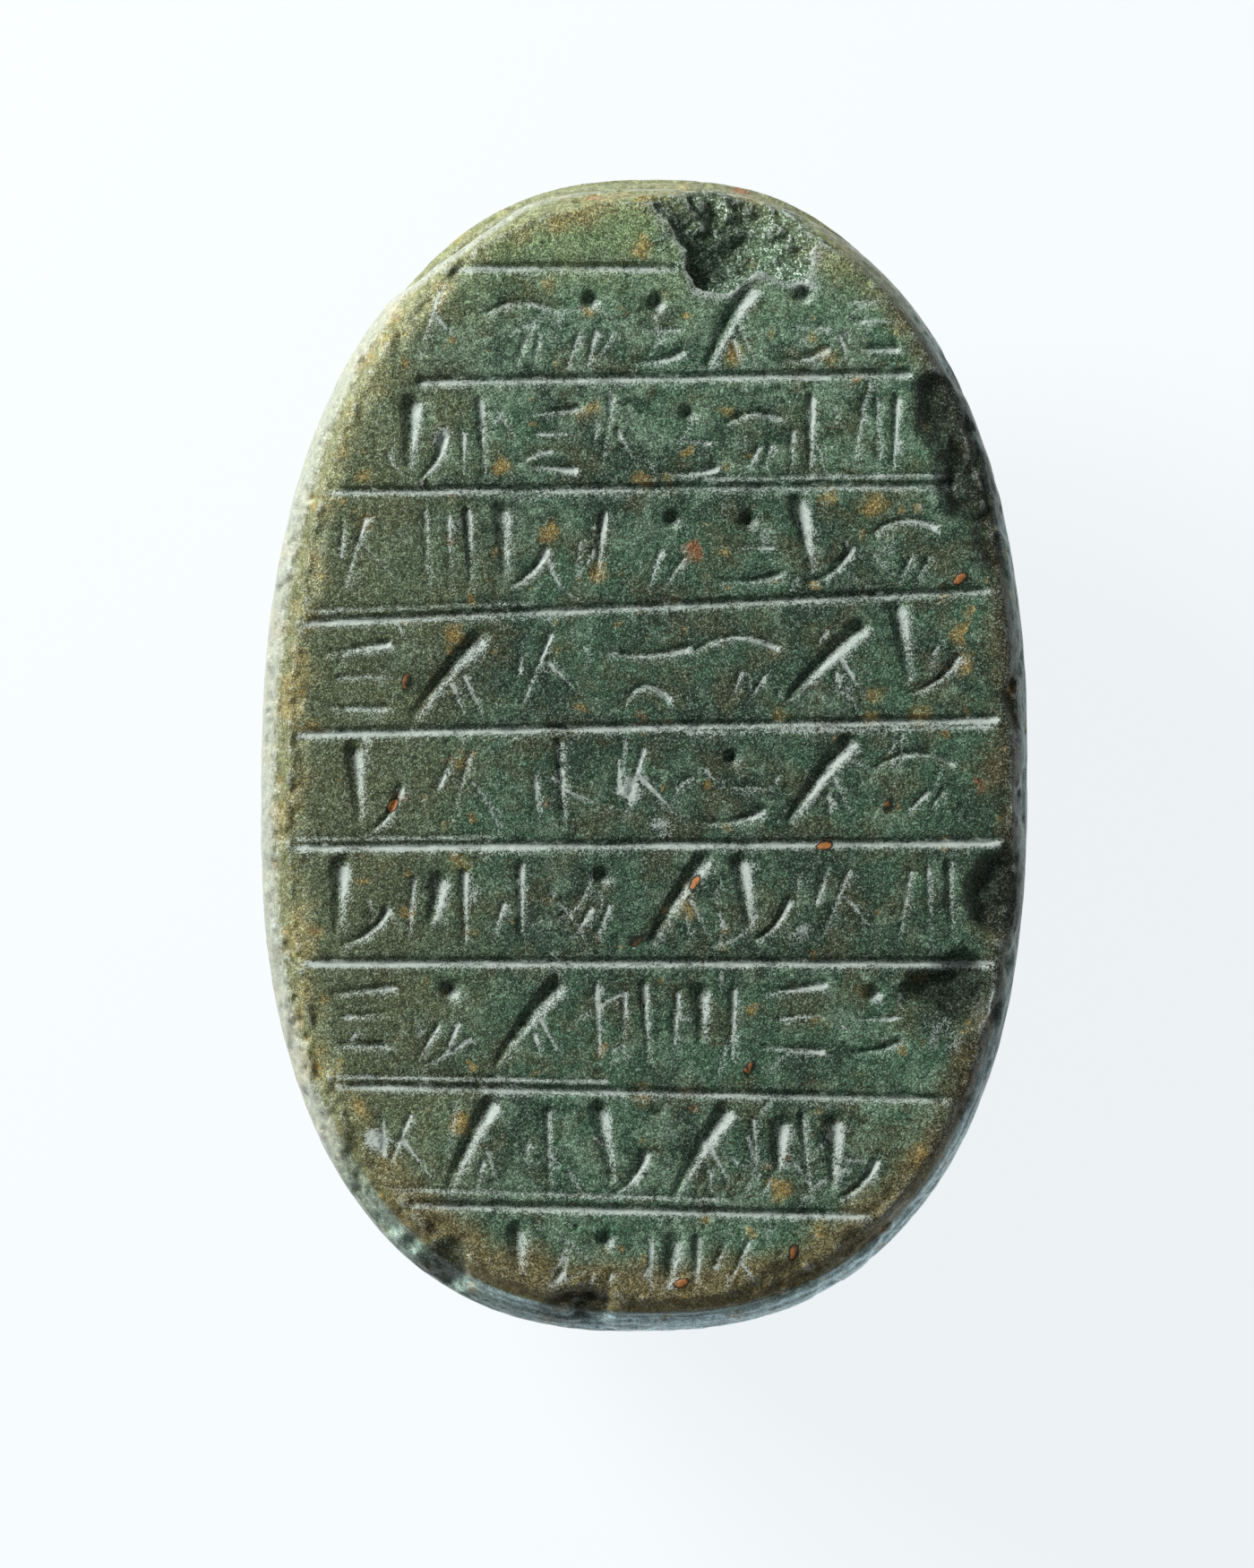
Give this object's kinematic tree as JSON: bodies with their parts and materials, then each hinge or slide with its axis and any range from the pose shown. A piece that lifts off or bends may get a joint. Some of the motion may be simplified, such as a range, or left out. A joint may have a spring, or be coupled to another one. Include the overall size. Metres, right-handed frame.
{
  "type": "scarab seal",
  "caption": "Carved stone beetle amulet lying on its back, with an oval base up that is ruled across and engraved with rows of shallow strokes.",
  "frame": {"origin": "on the ground under the middle of the outline, with the flat spot of the beetle's back on the ground", "axes": "+Y towards the beetle's head, +Z out of the engraved face, +X to the reader's right"},
  "size_m": [0.0398, 0.06, 0.0235],
  "materials": {
    "green_stone": "satin"
  },
  "bodies": {
    "root": {"scarab": "green_stone"}
  },
  "joints": []
}
